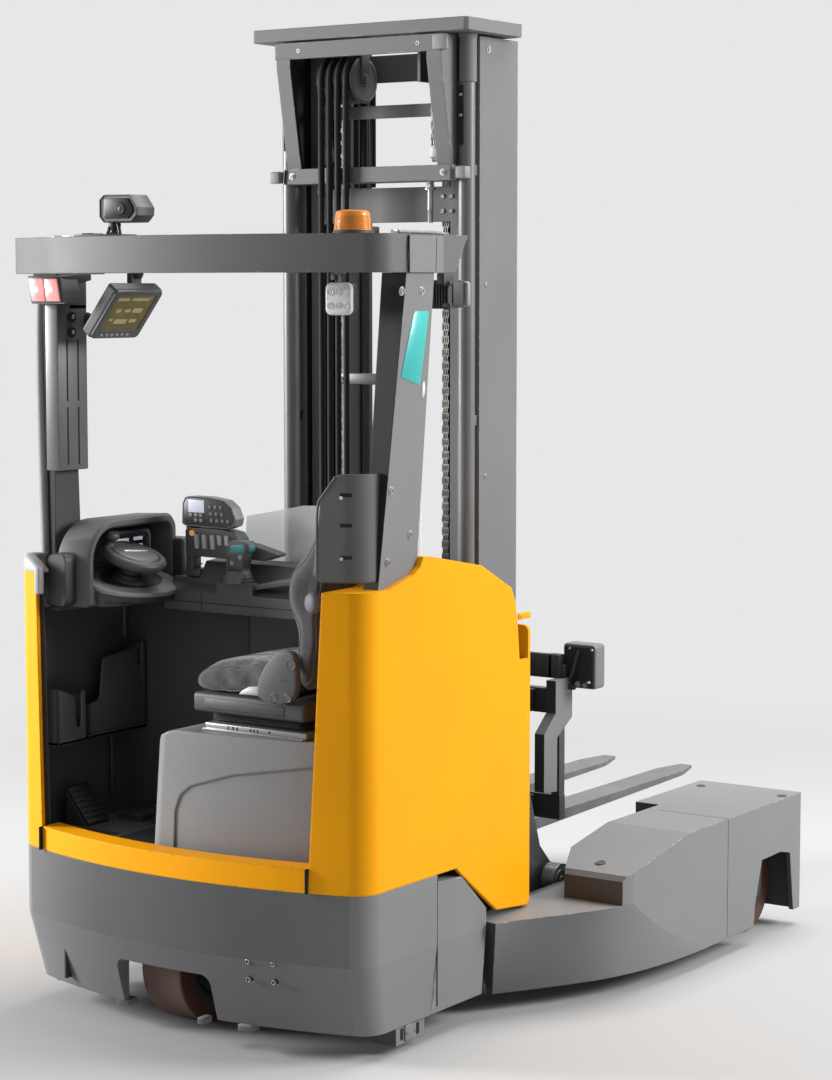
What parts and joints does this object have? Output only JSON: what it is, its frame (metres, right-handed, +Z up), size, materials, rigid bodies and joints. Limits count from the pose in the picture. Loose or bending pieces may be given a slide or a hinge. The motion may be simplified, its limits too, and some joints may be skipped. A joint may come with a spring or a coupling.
{
  "type": "reach truck",
  "caption": "Electric sit-in reach truck with a telescoping mast that moves along two load arms, a sideways seat, an overhead guard and forks that tilt, shift and spread.",
  "frame": {"origin": "on the floor under the middle of the truck's bounding box", "axes": "+X to the truck's right, +Y towards the fork tips, +Z up"},
  "size_m": [1.682, 2.694, 2.817],
  "materials": {
    "hull_paint": "satin grey paint",
    "chassis_paint": "satin dark grey paint",
    "battery_case": "matt black paint",
    "cover_yellow": "gloss yellow paint",
    "sill_rubber": "matt textured",
    "arm_paint": "satin grey paint",
    "rail_steel": "worn steel",
    "floor_mat": "ribbed rubber",
    "plinth_paint": "satin grey paint",
    "seat_frame": "matt",
    "seat_fabric": "woven",
    "pad_plastic": "matt",
    "panel_paint": "satin grey paint",
    "trim_plastic": "matt textured",
    "pod_plastic": "matt",
    "clear_screen": "clear",
    "guard_paint": "satin black paint",
    "monitor_plastic": "matt",
    "camera_casing": "satin",
    "beacon_lens": "translucent amber",
    "tail_lens": "translucent red",
    "lamp_casing": "satin",
    "cylinder_paint": "satin black paint",
    "steering_plastic": "matt",
    "drive_casting": "dark cast",
    "drive_tyre": "brown polyurethane",
    "wheel_fork_steel": "dark cast",
    "load_tyre": "brown polyurethane",
    "carriage_paint": "satin black paint",
    "roller_steel": "ground steel",
    "mast_paint": "satin black paint",
    "rod_chrome": "polished",
    "pulley_plastic": "matt",
    "chain_steel": "oiled steel",
    "hose_rubber": "matt",
    "fork_steel": "worn black paint"
  },
  "bodies": {
    "chassis": {"rear_bumper": "hull_paint", "chassis_frame": "chassis_paint", "battery": "battery_case", "right_body_cover": "cover_yellow", "left_body_cover": "cover_yellow", "door_sill": "sill_rubber", "load_arms": "arm_paint", "wheel_housings": "arm_paint", "reach_rails": "rail_steel", "cab_floor": "floor_mat", "seat_plinth": "plinth_paint", "seat_suspension": "seat_frame", "seat_cushion": "seat_fabric", "seat_backrest": "seat_fabric", "corner_pad": "pad_plastic", "front_panel": "panel_paint", "storage_panel": "trim_plastic", "steering_console": "trim_plastic", "control_console": "trim_plastic", "control_pods": "pod_plastic", "mast_screen": "clear_screen", "overhead_guard": "guard_paint", "guard_posts": "guard_paint", "monitor": "monitor_plastic", "roof_camera": "camera_casing", "beacon": "beacon_lens", "tail_lamp": "tail_lens", "work_lamps": "lamp_casing", "reach_cylinder": "cylinder_paint"},
    "steering_wheel": {"steering_wheel": "steering_plastic"},
    "drive_unit": {"drive_unit": "drive_casting"},
    "drive_wheel": {"drive_wheel": "drive_tyre"},
    "load_wheel_fork_right": {"load_wheel_fork_right": "wheel_fork_steel"},
    "load_wheel_fork_left": {"load_wheel_fork_left": "wheel_fork_steel"},
    "load_wheel_right": {"load_wheel_right": "load_tyre"},
    "load_wheel_left": {"load_wheel_left": "load_tyre"},
    "reach_carriage": {"reach_carriage": "carriage_paint", "reach_rollers": "roller_steel", "mast_outer": "mast_paint", "lift_cylinders": "cylinder_paint"},
    "mast_middle": {"mast_middle": "mast_paint", "lift_rods": "rod_chrome", "hose_pulleys": "pulley_plastic", "lift_chains": "chain_steel", "mast_hoses": "hose_rubber"},
    "mast_inner": {"mast_inner": "mast_paint"},
    "lift_carriage": {"lift_carriage": "carriage_paint"},
    "tilt_frame": {"tilt_frame": "carriage_paint"},
    "fork_carriage": {"fork_carriage": "carriage_paint", "carriage_camera": "camera_casing"},
    "fork_right": {"fork_right": "fork_steel"},
    "fork_left": {"fork_left": "fork_steel"}
  },
  "joints": [
    {"name": "steering_wheel_turn", "type": "hinge", "parent": "chassis", "child": "steering_wheel", "pos_m": [-0.376, -1.005, 1.285], "axis": [0.342, 0, 0.9397], "continuous": true},
    {"name": "drive_unit_steer", "type": "hinge", "parent": "chassis", "child": "drive_unit", "pos_m": [-0.084, -1.08, 0.39], "axis": [0, 0, 1], "range_deg": [-90, 90]},
    {"name": "drive_wheel_spin", "type": "hinge", "parent": "drive_unit", "child": "drive_wheel", "pos_m": [-0.084, -1.08, 0.1715], "axis": [1, 0, 0], "continuous": true},
    {"name": "load_wheel_right_steer", "type": "hinge", "parent": "chassis", "child": "load_wheel_fork_right", "pos_m": [0.7, 0.67, 0.3], "axis": [0, 0, 1], "range_deg": [-10, 95]},
    {"name": "load_wheel_left_steer", "type": "hinge", "parent": "chassis", "child": "load_wheel_fork_left", "pos_m": [-0.7, 0.67, 0.3], "axis": [0, 0, -1], "range_deg": [-10, 95]},
    {"name": "load_wheel_right_spin", "type": "hinge", "parent": "load_wheel_fork_right", "child": "load_wheel_right", "pos_m": [0.7, 0.67, 0.1425], "axis": [1, 0, 0], "continuous": true},
    {"name": "load_wheel_left_spin", "type": "hinge", "parent": "load_wheel_fork_left", "child": "load_wheel_left", "pos_m": [-0.7, 0.67, 0.1425], "axis": [1, 0, 0], "continuous": true},
    {"name": "mast_reach", "type": "slide", "parent": "chassis", "child": "reach_carriage", "axis": [0, 1, 0], "range_m": [0, 0.6]},
    {"name": "mast_middle_lift", "type": "slide", "parent": "reach_carriage", "child": "mast_middle", "axis": [0, 0, 1], "range_m": [0, 2]},
    {"name": "mast_inner_lift", "type": "slide", "parent": "mast_middle", "child": "mast_inner", "axis": [0, 0, 1], "range_m": [0, 2]},
    {"name": "carriage_lift", "type": "slide", "parent": "mast_inner", "child": "lift_carriage", "axis": [0, 0, 1], "range_m": [-0.27, 1.7]},
    {"name": "fork_tilt", "type": "hinge", "parent": "lift_carriage", "child": "tilt_frame", "pos_m": [0, 0, 0.456], "axis": [1, 0, 0], "range_deg": [-2, 4]},
    {"name": "side_shift", "type": "slide", "parent": "tilt_frame", "child": "fork_carriage", "axis": [1, 0, 0], "range_m": [-0.075, 0.075]},
    {"name": "fork_right_spread", "type": "slide", "parent": "fork_carriage", "child": "fork_right", "axis": [1, 0, 0], "range_m": [-0.095, 0.167]},
    {"name": "fork_left_spread", "type": "slide", "parent": "fork_carriage", "child": "fork_left", "axis": [-1, 0, 0], "range_m": [-0.095, 0.167]}
  ],
  "couplings": [
    {"joint": "mast_inner_lift", "follows": "mast_middle_lift", "ratio": 1}
  ]
}
